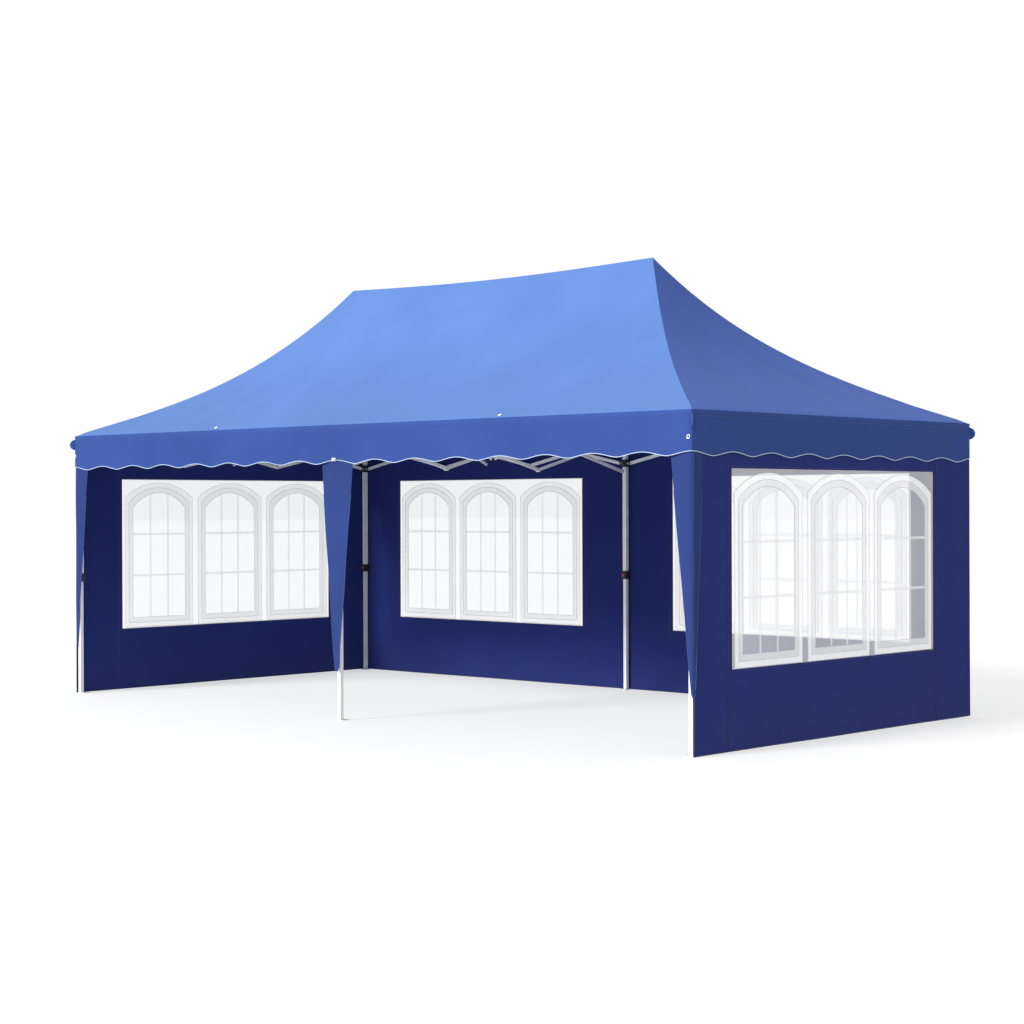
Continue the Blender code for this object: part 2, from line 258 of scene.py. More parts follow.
def film_material(name):
    """Milky window film: cloudy, softly wavy, and partly seen through, with painted light in its
    emission standing in for daylight shining through it.
    """
    made, tree, shader = new_material(name, (0.9, 0.9, 0.93))
    body = add(tree, "TexCoord").outputs["Object"]
    cloud = noise(tree, body, 1.6, 4.0)
    ripple = noise(tree, body, 3.5, 3.0, (1.0, 1.0, 0.5))
    tones = [(0.3, (0.66, 0.66, 0.675)), (0.7, (0.73, 0.73, 0.74))]
    # painted light: the emission stands in for daylight shining through the film from behind
    plug(tree, shader, Base_Color=ramp(tree, cloud, tones),
         Alpha=spread(tree, cloud, 0.32, 0.42), Roughness=spread(tree, ripple, 0.18, 0.34),
         Normal=bump(tree, ripple, 0.25, 0.02),
         Emission_Color=(1.0, 1.0, 1.0, 1), Emission_Strength=0.32)
    return made


def print_material(name, colour, alpha=1.0, painted_glow=0.0, metallic=0.0):
    """Ink, tape or thin metal with a slightly uneven lay; thin ink lets daylight through, and its
    emission is painted light standing in for daylight shining through the print.
    """
    made, tree, shader = new_material(name, colour)
    body = add(tree, "TexCoord").outputs["Object"]
    uneven = noise(tree, body, 30.0, 5.0)
    plug(tree, shader, Alpha=alpha, Metallic=metallic,
         Emission_Color=(1.0, 1.0, 1.0, 1), Emission_Strength=painted_glow,
         Base_Color=ramp(tree, uneven, [(0.3, shade(colour, 0.88)), (0.7, colour)]),
         Roughness=spread(tree, uneven, 0.45, 0.65),
         Normal=bump(tree, noise(tree, body, 700.0, 2.0), 0.2, 0.0004))
    return made


ROOF = cloth_material("roof_cloth", (0.070, 0.139, 0.342), (0.064, 0.128, 0.318),
                      (0.077, 0.152, 0.368), 0.06)
# painted shade: the end slopes get a darker copy of the roof cloth, standing in for the weaker
# light that falls on them
ROOF_END_PAINTED_SHADE = cloth_material("roof_end_cloth", (0.039, 0.077, 0.272), (0.0355, 0.070, 0.252),
                          (0.043, 0.085, 0.294), 0.04)
VALANCE_CLOTH = cloth_material("valance_cloth", (0.025, 0.052, 0.190), (0.023, 0.048, 0.175),
                               (0.028, 0.057, 0.205), 0.03)
WALL_CLOTH = cloth_material("wall_cloth", (0.0155, 0.025, 0.132), (0.014, 0.0225, 0.120),
                            (0.0175, 0.028, 0.145), 0.02)
COVER_CLOTH = cloth_material("cover_cloth", (0.019, 0.035, 0.135), (0.017, 0.0315, 0.122),
                             (0.021, 0.039, 0.150), 0.03)
PIPING = print_material("white_piping", (0.38, 0.48, 0.60))
SEAM = print_material("blue_seam_tape", (0.010, 0.016, 0.090))
SEAM_LIGHT = print_material("roof_seam_tape", (0.022, 0.047, 0.180))
# the window prints carry painted light: their emission stands in for daylight shining through the
# film behind them
FRAME_PRINT = print_material("window_frame_print", (0.60, 0.60, 0.605), 0.70, 0.38)
BAR_PRINT = print_material("window_bar_print", (0.54, 0.54, 0.55), 0.66, 0.28)
PRINT_LINE = print_material("window_print_lines", (0.42, 0.42, 0.435), 0.50, 0.08)
FILM = film_material("window_film")
TIE = print_material("white_tie", (0.78, 0.80, 0.84))
EYELET = print_material("nickel_eyelet", (0.80, 0.82, 0.86), metallic=0.8)
STEEL = steel_material("powder_coated_steel", (0.78, 0.79, 0.81))
LEG_STEEL = steel_material("leg_steel_black_ends", (0.84, 0.85, 0.87), True)
RIVET = steel_material("rivet_steel", (0.55, 0.55, 0.57))
BLACK = plastic_material("black_plastic", (0.016, 0.016, 0.018), 0.48)
RED = plastic_material("red_plastic", (0.55, 0.03, 0.02), 0.40)


# ---- piece building --------------------
def add_piece(name, bm, material, body, smooth=True, fold=None):
    """A finished mesh as a piece on a body; fold, given as (axis, anchor, keep) for cloth, only
    gives the piece its own mesh and folds nothing.
    """
    mesh = bpy.data.meshes.new(name)
    bm.to_mesh(mesh)
    bm.free()
    mesh.materials.append(material)
    if smooth:
        mesh.shade_smooth()
    thing = bpy.data.objects.new(name, mesh)
    bpy.context.scene.collection.objects.link(thing)
    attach(thing, body)
    if fold:
        axis, anchor, keep = fold
        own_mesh(thing)
        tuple(axis)
        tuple(anchor)
    return thing


def fill(bm, rows):
    """The quads between neighbouring rows of vertices."""
    return [bm.faces.new((one[k], one[k + 1], two[k + 1], two[k]))
            for one, two in zip(rows, rows[1:]) for k in range(len(one) - 1)]


def grid(columns, rows, place, texture):
    """A sheet of columns x rows points; place gives a point, texture its cut position."""
    bm = bmesh.new()
    layer = bm.loops.layers.uv.new("cut")
    points = [[bm.verts.new(place(c, r)) for c in range(columns)] for r in range(rows)]
    cut = {points[r][c]: texture(c, r) for c in range(columns) for r in range(rows)}
    for face in fill(bm, points):
        for loop in face.loops:
            loop[layer].uv = cut[loop.vert]
    bmesh.ops.remove_doubles(bm, verts=bm.verts, dist=0.00005)
    return bm


def ring_points(centre, side, up, radius, count):
    """A circle of points round a centre, in the plane of two directions."""
    turns = [2 * math.pi * k / count for k in range(count)]
    return [centre + (side * math.cos(t) + up * math.sin(t)) * radius for t in turns]


def bridge(bm, one, two):
    """Faces between two closed rings of vertices."""
    for k in range(len(one)):
        j = (k + 1) % len(one)
        bm.faces.new((one[k], one[j], two[j], two[k]))


def tube(bm, points, radius, sides=8, closed=False):
    """A round tube along points, added to bm."""
    count = len(points)
    rings = []
    for i, point in enumerate(points):
        last = points[i - 1] if i or closed else point
        following = points[(i + 1) % count] if i < count - 1 or closed else point
        along = (Vector(following) - Vector(last)).normalized()
        side = along.cross(UP)
        if side.length < 0.2:
            side = along.cross(Vector((1, 0, 0)))
        side.normalize()
        circle = ring_points(Vector(point), side, side.cross(along), radius, sides)
        rings.append([bm.verts.new(p) for p in circle])
    for one, two in zip(rings, rings[1:]):
        bridge(bm, one, two)
    if closed:
        bridge(bm, rings[-1], rings[0])
    else:
        bm.faces.new(rings[0][::-1])
        bm.faces.new(rings[-1])


def rounded_box(bm, centre, half, bevel):
    """A box of the given half sizes with rounded edges, added to bm."""
    made = bmesh.ops.create_cube(bm, size=2.0)["verts"]
    for vert in made:
        vert.co = Vector([c * h for c, h in zip(vert.co, half)]) + centre
    edges = {edge for vert in made for edge in vert.link_edges}
    bmesh.ops.bevel(bm, geom=list(edges), offset=bevel, segments=3, affect="EDGES", profile=0.6)


def button(bm, base, out, radius, height, sides=20):
    """A domed round button or rivet head that stands out along a direction, added to bm."""
    out = Vector(out).normalized()
    side = out.orthogonal().normalized()
    rings = []
    for share, size in ((0.0, 1.0), (0.55, 1.0), (0.85, 0.86), (1.0, 0.55)):
        centre = Vector(base) + out * height * share
        circle = ring_points(centre, side, out.cross(side), radius * size, sides)
        rings.append([bm.verts.new(p) for p in circle])
    for one, two in zip(rings, rings[1:]):
        bridge(bm, one, two)
    bm.faces.new(rings[-1])
    bm.faces.new(rings[0][::-1])


# ---- roof --------------------
def round_corner(point):
    """Turns the square corner of the canopy's plan into an arc, for whatever lies near it."""
    over_x = abs(point.x) - (CX - CORNER_RADIUS)
    over_y = abs(point.y) - (CY - CORNER_RADIUS)
    if over_x <= 0 or over_y <= 0:
        return point
    shrink = 1 - max(over_x, over_y) / math.hypot(over_x, over_y)
    point.x -= math.copysign(over_x * shrink, point.x)
    point.y -= math.copysign(over_y * shrink, point.y)
    return point


def roof_rise(share):
    """Height over the eave at a share of the way from the eave to the peaks."""
    steep = (1 - RISE_STRAIGHT) * share ** RISE_POWER
    return (PEAK - EAVE) * (RISE_STRAIGHT * share + steep)


def roof_point(x, y):
    """The roof's surface: hollow slopes, a ridge that sags, and folds pulled by the peaks."""
    across = 1 - abs(y) / CY
    along = (CX - abs(x)) / (CX - RIDGE)
    share = max(0.0, min(across, along, 1.0))
    z = EAVE + roof_rise(share)
    if abs(x) < RIDGE:
        z -= SAG * math.cos(math.pi * x / (2 * RIDGE)) * share ** 1.5
    # faint ripples that run from the peaks towards the eaves
    peak = RIDGE if x > 0 else -RIDGE
    turn = math.atan2(y, (abs(x) - RIDGE) + 1e-6)
    reach = math.hypot(x - peak, y)
    calm = min(1.0, share / 0.12) * min(1.0, (1 - share) / 0.10) * min(1.0, reach / 0.5)
    z += RIPPLE * math.sin(turn * 17 + 0.7 * math.sin(x * 2)) * calm
    z += BILLOW * math.sin(x * 2.9 + y * 1.3) * calm
    # slack cloth bellies between the bars just above the eave
    if across <= along:
        low_down = math.sin(math.pi * min(share / 0.25, 1.0)) * min(1.0, share / 0.05)
        z -= BELLY * low_down * abs(math.sin(math.pi * abs(x) / BAY))
    # the cloth turns over the top bars instead of ending in a sharp edge
    x -= math.copysign(EAVE_INSET * max(0.0, 1 - along / EAVE_TURN) ** 2, x)
    y -= math.copysign(EAVE_INSET * max(0.0, 1 - across / EAVE_TURN) ** 2, y)
    return round_corner(Vector((x, y, z)))


def slope_top(u, end):
    """Share of the full slope at u along the eave, where the ridge or a hip ends it."""
    return 1 - abs(u) / CY if end else min(1.0, (CX - abs(u)) / (CX - RIDGE))


def slope_strip(name, body, low, high, side, end):
    """One strip of roof over half a scissor pair, from the eave to the ridge or the hip."""
    columns, rows = 9, 17
    width = high - low

    def place(c, r):
        u = low + width * c / (columns - 1)
        share = slope_top(u, end) * (r / (rows - 1)) ** 1.5
        if end:
            return roof_point(side * (CX - (CX - RIDGE) * share), u)
        return roof_point(u, side * CY * (1 - share))

    def texture(c, r):
        p = place(c, r)
        inward = CX - abs(p.x) if end else CY - abs(p.y)
        return (p.y if end else p.x, math.hypot(inward, p.z - EAVE))

    outward = Vector((side, 0, 0)) if end else Vector((0, side, 0))
    depth = CX - RIDGE if end else CY
    slope = (-outward * depth + UP * (PEAK - EAVE)).normalized()
    anchor = outward * (CX if end else CY) + UP * EAVE
    bm = grid(columns, rows, place, texture)
    if (side > 0) != end:
        bmesh.ops.reverse_faces(bm, faces=bm.faces)
    tops = [slope_top(u, end) for u in (low, (low + high) / 2, high)]
    made = add_piece(name, bm, ROOF_END_PAINTED_SHADE if end else ROOF, body,
                     fold=(tuple(slope), tuple(anchor), 0.05))
    return made


def bay_stations(bay):
    """(low, high, body) for each half pair of a bay, along its world coordinate."""
    first, plan = BAYS[bay]
    way = plan[0] or plan[1]
    start = leg_axis(first)[0 if plan[0] else 1]
    stops = [start + way * (PIVOT_REACH + PAIR_WIDTH * i / 2) for i in range(2 * PAIRS + 1)]
    stops[0], stops[-1] = start, start + way * BAY
    # at a corner of the frame the strip goes on to the canopy's edge
    corner, limit = (BAY, CX) if plan[0] else (HALF_DEPTH, CY)
    for k in (0, -1):
        if abs(abs(stops[k]) - corner) < 1e-6:
            stops[k] = math.copysign(limit, stops[k])
    kinds = ("falling", "rising") * PAIRS
    return [(min(a, b), max(a, b), "%s_%s_bar_%d" % (bay, kinds[i], i // 2 + 1))
            for i, (a, b) in enumerate(zip(stops, stops[1:]))]


for bay, (first, plan) in BAYS.items():
    end = bool(plan[1])
    side = LEGS[first][0] if end else LEGS[first][1]
    for n, (low, high, body) in enumerate(bay_stations(bay)):
        slope_strip("roof_%s_%d" % (bay, n + 1), body, low, high, side, end)
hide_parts("canopy")


# ---- valance --------------------
FLUTE = 0.0022              # depth of the soft folds at the valance's lower edge
EAVE_ROWS = (0.0, 0.004, 0.010, 0.018, 0.028)
VALANCE_ROWS = 12
VALANCE_STEP = 0.0155       # between two columns of a valance


def scallop_edge(along, half, count):
    """Height of the valance's lower edge: count waves over its whole length."""
    turn = (along + half) / (2 * half) * count * 2 * math.pi
    wave = 0.5 + 0.5 * math.cos(turn)
    return EAVE - VALANCE + SCALLOP * wave ** 0.8


def valance_out(along, z, seed):
    """How far the hanging cloth stands out from its plane: soft flutes that grow downwards."""
    hang = (EAVE - z) / VALANCE
    flute = math.sin(along * 8.1 + seed) + 0.6 * math.sin(along * 14.3 + 2 * seed)
    turned = max(0.0, 1 - (EAVE - EAVE_DROP - z) / EAVE_ROUND)
    return -FLUTE * hang * flute - 0.0015 * hang - EAVE_INSET * min(turned, 1.0) ** 2


def valance_panel(name, body, low, high, side, end, fold_to, seed):
    """The valance of one bay with its folded hem and white piping."""
    half = CY if end else CX
    count = SCALLOPS["short" if end else "long"]
    columns = int((high - low) / VALANCE_STEP) + 1

    def along(c):
        return low + (high - low) * c / (columns - 1)

    def spot(u, z):
        out = valance_out(u, z, seed)
        if end:
            return round_corner(Vector((side * (CX + out), u, z)))
        return round_corner(Vector((u, side * (CY + out), z)))

    def place(c, r):
        if r < len(EAVE_ROWS):
            return spot(along(c), EAVE - EAVE_ROWS[r])
        upper = EAVE - EAVE_ROWS[-1]
        drop = scallop_edge(along(c), half, count) - upper
        share = (r + 1 - len(EAVE_ROWS)) / (VALANCE_ROWS - len(EAVE_ROWS))
        return spot(along(c), upper + drop * share)

    def texture(c, r):
        p = place(c, r)
        return (p.y if end else p.x, p.z)

    axis = (0, 1, 0) if end else (1, 0, 0)
    anchor = (0, fold_to, 0) if end else (fold_to, 0, 0)
    fold = (axis, anchor, SHORT_KEEP if end else LONG_KEEP)
    bm = grid(columns, VALANCE_ROWS, place, texture)
    if (side > 0) == end:
        bmesh.ops.reverse_faces(bm, faces=bm.faces)
    cloth = add_piece(name, bm, VALANCE_CLOTH, body, fold=fold)
    bm = bmesh.new()
    tube(bm, [spot(along(c), scallop_edge(along(c), half, count)) for c in range(columns)],
         0.0026, 6)
    trim = add_piece(name + "_piping", bm, PIPING, body, fold=fold)
    # the sewn line where the valance joins the roof
    bm = bmesh.new()
    steps = 40
    tube(bm, [spot(low + (high - low) * k / steps, EAVE - 0.034) for k in range(steps + 1)],
         0.0013, 5)
    seam = add_piece(name + "_eave_seam", bm, SEAM_LIGHT, body, fold=fold)


valance_panel("valance_front_left", "front_middle_leg", -CX, 0.0, -1, False, 0.0, 0.3)
valance_panel("valance_front_right", "front_middle_leg", 0.0, CX, -1, False, 0.0, 0.3)
valance_panel("valance_back_left", "back_middle_leg", -CX, 0.0, 1, False, 0.0, 2.0)
valance_panel("valance_back_right", "back_middle_leg", 0.0, CX, 1, False, 0.0, 2.0)
valance_panel("valance_left_end", "back_left_leg", -CY, CY, -1, True, CY, 0.9)
valance_panel("valance_right_end", "back_right_leg", -CY, CY, 1, True, CY, 1.7)

# ---- camera --------------------
EYE = Vector((9.8892, -10.3664, 1.4119))
AZIMUTH, PITCH, ROLL = 0.7526, 0.0033, -0.0032
SENSOR = 36.0
FOCAL = 1.964990            # focal length as a share of the picture's width

camera_data = bpy.data.cameras.new("camera")
camera_data.sensor_width = SENSOR
camera_data.lens = FOCAL * SENSOR
camera = bpy.data.objects.new("camera", camera_data)
bpy.context.scene.collection.objects.link(camera)
ahead = Vector((-math.sin(AZIMUTH), math.cos(AZIMUTH), 0))
forward = ahead * math.cos(PITCH) - UP * math.sin(PITCH)
level = ahead.cross(UP)
upright = level.cross(forward)
right = level * math.cos(ROLL) + upright * math.sin(ROLL)
top = upright * math.cos(ROLL) - level * math.sin(ROLL)
look = Matrix((right, top, -forward)).transposed().to_4x4()
look.translation = EYE
camera.matrix_world = look
bpy.context.scene.camera = camera

# ---- leg covers --------------------
COVER_TOP, COVER_TIP = 1.745, 0.3225
COVER_EAVE, COVER_TAPER = 1.700, 0.330     # the straight taper runs between these heights
COVER_POINT = 0.018                        # half width where the taper ends
COVER_COLUMNS, COVER_ROWS = 15, 48
COVER_HIDDEN_ROWS = 8                      # behind the valance, without a hem
FRONT_COLUMNS = 8                          # of a corner cover's wing in front
COVER_INSET = 0.005


def cover_width(z, top_half):
    """Half width of a leg cover at height z: a straight taper to a rounded tip."""
    share = (z - COVER_TAPER) / (COVER_EAVE - COVER_TAPER)
    wide = COVER_POINT + (top_half - COVER_POINT) * max(0.0, min(share, 1.15))
    tip = min(1.0, (z - 0.322) / 0.016)
    return wide * math.sqrt(max(tip, 0.0))


def cover_height(r):
    return COVER_TOP + (COVER_TIP - COVER_TOP) * (r / (COVER_ROWS - 1)) ** 0.97


def leg_cover(leg, place, texture, flip, fold=None):
    """The cloth and hem of one tongue; place gives its points."""
    body = leg + "_leg"
    bm = grid(COVER_COLUMNS, COVER_ROWS, place, texture)
    if flip:
        bmesh.ops.reverse_faces(bm, faces=bm.faces)
    cloth = add_piece(leg + "_leg_cover", bm, COVER_CLOTH, body, fold=fold)
    rows = range(COVER_HIDDEN_ROWS, COVER_ROWS)
    rim = [place(0, r) for r in rows] + [place(COVER_COLUMNS - 1, r) for r in reversed(rows)]
    bm = bmesh.new()
    tube(bm, rim, 0.0022, 6)
    hem = add_piece(leg + "_leg_cover_hem", bm, SEAM_LIGHT, body, fold=fold)


def middle_cover():
    """Tapered tongue in front of the front middle leg, bowed round the tube."""
    def place(c, r):
        z = cover_height(r)
        x = (2 * c / (COVER_COLUMNS - 1) - 1) * cover_width(z, 0.152)
        bow = 0.012 * (x / 0.165) ** 2 + 0.002 * math.sin(9 * z + 5 * x)
        return Vector((x, -CY + 0.006 + bow, z))

    leg_cover("front_middle", place, lambda c, r: tuple(place(c, r))[::2], True,
              ((1, 0, 0), (0, 0, 0), 0.42))


def corner_cover(leg):
    """Tongue that wraps a front corner: a wide wing in front and a narrow one on the end."""
    side = LEGS[leg][0]

    def place(c, r):
        z = cover_height(r)
        bow = 0.0015 * math.sin(8 * z + side)
        if c <= FRONT_COLUMNS:
            u = 1 - c / FRONT_COLUMNS
            return round_corner(Vector((
                side * (CX - COVER_INSET - u * cover_width(z, 0.165)),
                -CY + COVER_INSET + 0.010 * u * u + bow, z)))
        u = (c - FRONT_COLUMNS) / (COVER_COLUMNS - 1 - FRONT_COLUMNS)
        return round_corner(Vector((side * (CX - COVER_INSET - bow),
                                    -CY + COVER_INSET + u * cover_width(z, 0.095), z)))

    leg_cover(leg, place, lambda c, r: (place(c, r).x + place(c, r).y, place(c, r).z),
              side > 0)


middle_cover()
corner_cover("front_left")
corner_cover("front_right")


# ---- walls --------------------
def wall_out(along, z, seed):
    """Slack in a hung wall: long vertical waves, tight at the top hem."""
    slack = min(1.0, (WALL_TOP - z) / 0.5)
    wave = math.sin(along * 3.7 + seed) + 0.5 * math.sin(along * 7.9 + 1.7 * seed + 0.8 * z)
    foot = 1.0 + 0.8 * max(0.0, (0.5 - z) / 0.5)
    return 0.0016 * wave * slack * foot


def breaks(low, high, step, fixed):
    """Even stops from low to high that also hit every fixed place."""
    marks = sorted({low, high, *[f for f in fixed if low < f < high]})
    stops = []
    for a, b in zip(marks, marks[1:]):
        count = max(1, round((b - a) / step))
        stops += [a + (b - a) * k / count for k in range(count)]
    return stops + [high]


WALL_HEM = 0.004            # from the wall's edge to the middle of its hem
SEAM_ENDS = 0.010           # seams stop this far from the wall's top and foot
SEAM_LIFT = 0.0006
WINDOW_SEAMS = (0.034, 0.040)   # double seams beside a window
WINDOW_BORDER = 0.010       # from a window's edge to the seam round it
WINDOW_LAP = 0.004          # the film goes on behind the cloth


def wall_panel(name, cad, body, low, high, plane, end, side, windows, seed, fold):
    """A cloth wall with window openings, hems, sewn seams and the windows themselves."""
    us = breaks(low, high, 0.062, [u for w in windows for u in w])
    zs = breaks(WALL_LOW, WALL_TOP, 0.075, [WINDOW_LOW, WINDOW_TOP])

    def spot(along, z, lift=0.0):
        out = plane + side * (wall_out(along, z, seed) + lift)
        return Vector((out, along, z)) if end else Vector((along, out, z))

    bm = bmesh.new()
    layer = bm.loops.layers.uv.new("cut")
    points = {(i, j): bm.verts.new(spot(u, z)) for i, u in enumerate(us) for j, z in enumerate(zs)}
    for i in range(len(us) - 1):
        for j in range(len(zs) - 1):
            u, z = (us[i] + us[i + 1]) / 2, (zs[j] + zs[j + 1]) / 2
            if WINDOW_LOW < z < WINDOW_TOP and any(a < u < b for a, b in windows):
                continue
            keys = ((i, j), (i + 1, j), (i + 1, j + 1), (i, j + 1))
            face = bm.faces.new([points[k] for k in keys])
            for loop, (p, q) in zip(face.loops, keys):
                loop[layer].uv = (us[p], zs[q])
    bmesh.ops.delete(bm, geom=[v for v in bm.verts if not v.link_faces], context="VERTS")
    if (side > 0) != end:
        bmesh.ops.reverse_faces(bm, faces=bm.faces)
    cloth = add_piece(name, bm, WALL_CLOTH, body, fold=fold)
    trims = []
    bm = bmesh.new()
    for z in (WALL_TOP - WALL_HEM, WALL_LOW + WALL_HEM):
        tube(bm, [spot(low + (high - low) * k / 60, z) for k in range(61)], 0.0032, 6)
    for u in (low + WALL_HEM, high - WALL_HEM):
        tube(bm, upright_line(spot, u, WALL_HEM, 0.0), 0.0032, 6)
    trims.append(add_piece(name + "_hems", bm, SEAM, body, fold=fold))
    bm = bmesh.new()
    for a, b in windows:
        near, far = WINDOW_SEAMS
        for u in (a - far, a - near, b + near, b + far):
            tube(bm, upright_line(spot, u, SEAM_ENDS, SEAM_LIFT), 0.0014, 5)
        left, right_ = a - WINDOW_BORDER, b + WINDOW_BORDER
        foot, head = WINDOW_LOW - WINDOW_BORDER, WINDOW_TOP + WINDOW_BORDER
        corners = ((left, foot), (right_, foot), (right_, head), (left, head))
        ring = []
        for (u0, z0), (u1, z1) in zip(corners, corners[1:] + corners[:1]):
            ring += [spot(u0 + (u1 - u0) * k / 24, z0 + (z1 - z0) * k / 24, SEAM_LIFT)
                     for k in range(24)]
        tube(bm, ring, 0.0016, 5, closed=True)
    trims.append(add_piece(name + "_seams", bm, SEAM, body, fold=fold))
    for n, (a, b) in enumerate(windows):
        trims += window("%s_window_%d" % (name, n + 1), a, b, spot, body, fold)
    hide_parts(cad)


def upright_line(spot, u, ends, lift):
    """Points up a wall at u, as far as its ends leave."""
    span = WALL_TOP - WALL_LOW - 2 * ends
    return [spot(u, WALL_LOW + ends + span * k / 30, lift) for k in range(31)]


SASHES = 3
FULL_WINDOW = 2.05          # width of the window that the sash sizes are given for
SASH_WIDTH = 0.632
SASH_PITCH = 0.686
SASH_FRAME = 0.072
CASING = 0.034              # outer band of a sash
BEAD = 0.036                # from the sash's edge to its inner band
ARCH_RISE = 0.118
MUNTIN = 0.017
CROSSBARS = (0.335, 0.665)  # shares of the pane's height
FILM_LIFT, CASING_LIFT, BEAD_LIFT, MUNTIN_LIFT = -0.0006, 0.0010, 0.0014, 0.0012
OUTLINE_LIFTS = (0.0015, -0.0029)   # seen from outside, and from inside


def band(bm, inner, outer):
    """A flat band between two matching lines of points, added to bm."""
    fill(bm, [[bm.verts.new(p) for p in line] for line in (inner, outer)])


def window(name, a, b, spot, body, fold):
    """Milky film with three arched sashes printed on it, each with a three by three lattice."""
    width = b - a
    scale = width / FULL_WINDOW
    bm = bmesh.new()
    columns, rows = 34, 18
    film_width = width + 2 * WINDOW_LAP
    film_height = WINDOW_TOP - WINDOW_LOW + 2 * WINDOW_LAP
    fill(bm, [[bm.verts.new(spot(a - WINDOW_LAP + film_width * c / (columns - 1),
                                 WINDOW_LOW - WINDOW_LAP + film_height * r / (rows - 1),
                                 FILM_LIFT))
               for c in range(columns)] for r in range(rows)])
    film = add_piece(name + "_film", bm, FILM, body, fold=fold)

    casing, bead, lines = bmesh.new(), bmesh.new(), bmesh.new()
    top, low = WINDOW_TOP - 0.022, WINDOW_LOW + 0.004
    half = SASH_WIDTH * scale / 2
    frame_width = SASH_FRAME * scale
    inside, foot = half - frame_width, low + frame_width

    def arch_z(u, inset):
        """Height of the arch at u from the sash's centre, inset from its outer edge."""
        reach = half - inset
        radius = (reach * reach + ARCH_RISE ** 2) / (2 * ARCH_RISE)
        return top - inset * 1.05 - radius + math.sqrt(max(radius ** 2 - u * u, 0.0))

    def outline(inset):
        """The sash's outline at an inset, from one foot over the arch and round again."""
        reach, base = half - inset, low + inset
        spring = arch_z(reach, inset)
        up = [(-reach, base + (spring - base) * k / 14) for k in range(15)]
        over = [(-reach + 2 * reach * k / 22, arch_z(-reach + 2 * reach * k / 22, inset))
                for k in range(1, 22)]
        down = [(reach, z) for _, z in reversed(up)]
        back = [(reach - 2 * reach * k / 14, base) for k in range(1, 15)]
        return up + over + down + back

    for n in range(SASHES):
        centre = (a + b) / 2 + (n - (SASHES - 1) / 2) * SASH_PITCH * scale

        def on_wall(inset, lift):
            return [spot(centre + u, z, lift) for u, z in outline(inset * scale)]

        band(casing, on_wall(0.0, CASING_LIFT), on_wall(CASING, CASING_LIFT))
        band(bead, on_wall(BEAD, BEAD_LIFT), on_wall(SASH_FRAME, BEAD_LIFT))
        for inset in (0.0, (CASING + BEAD) / 2, SASH_FRAME):
            for lift in OUTLINE_LIFTS:
                tube(lines, on_wall(inset, lift)[:-1], 0.0012, 4, closed=True)
        for u in (-inside / 3, inside / 3):
            peak = arch_z(u, frame_width)
            band(bead, *[[spot(centre + u + edge, foot + (peak - foot) * k / 14, MUNTIN_LIFT)
                          for k in range(15)] for edge in (-MUNTIN / 2, MUNTIN / 2)])
        for share in CROSSBARS:
            z = foot + (top - 0.075 - foot) * share
            band(bead, *[[spot(centre - inside + 2 * inside * k / 14, z + edge, MUNTIN_LIFT)
                          for k in range(15)] for edge in (-MUNTIN / 2, MUNTIN / 2)])
    return [film, add_piece(name + "_casing", casing, FRAME_PRINT, body, fold=fold),
            add_piece(name + "_bars", bead, BAR_PRINT, body, fold=fold),
            add_piece(name + "_outlines", lines, PRINT_LINE, body, fold=fold)]


X_FOLD = ((1, 0, 0), (0, 0, 0), COLLAPSE)
Y_FOLD = ((0, 1, 0), (0, WALL_Y - 0.004, 0), COLLAPSE)
wall_panel("wall_back", "back_wall", "back_middle_leg", -WALL_X + 0.006, WALL_X - 0.006,
           WALL_Y, False, 1, [(-2.515, -0.465), (0.440, 2.490)], 0.4, X_FOLD)
wall_panel("wall_left", "left_wall", "back_left_leg", -1.486, 1.486, -WALL_X, True, -1,
           [(-1.060, 1.060)], 1.3, Y_FOLD)
wall_panel("wall_right", "right_wall", "back_right_leg", -1.486, 1.486, WALL_X, True, 1,
           [(-1.130, 1.030)], 2.2, Y_FOLD)


# ---- frame details --------------------
def rivets():
    """Domed rivet heads on every bar where it crosses or meets another bar."""
    for bay, (first, plan) in BAYS.items():
        way = Vector((*plan, 0))
        across = UP.cross(way)
        root = leg_axis(first) + way * PIVOT_REACH
        upper = [root + way * PAIR_WIDTH * i + UP * UPPER_Z for i in range(PAIRS + 1)]
        lower = [p - UP * TRUSS for p in upper]
        for i in range(PAIRS):
            for kind, start, end, face in (("falling", upper[i], lower[i + 1], -1),
                                           ("rising", lower[i], upper[i + 1], 1)):
                spots = [(start + end) / 2]
                if i > 0:
                    spots.append(start)
                if i < PAIRS - 1:
                    spots.append(end)
                bm = bmesh.new()
                for place in spots:
                    button(bm, place + across * face * (BAR_OUTER - 0.0002), across * face,
                           0.0075, 0.0026, 16)
                name = "%s_%s_bar_%d" % (bay, kind, i + 1)
                add_piece(name + "_rivets", bm, RIVET, name)


LOCK_Z = 0.876              # middle of the height lock
LOCK_FACE = 0.0235          # from the leg's axis to the lock's housing
TUBE_RING = 0.0238          # half width of the coupler's rib rings
RIB = 0.0236                # half width of the slider's grip ribs
RIB_BORE = 0.0166
PLATE = 0.0169              # outer face of a side plate, from the truss plane


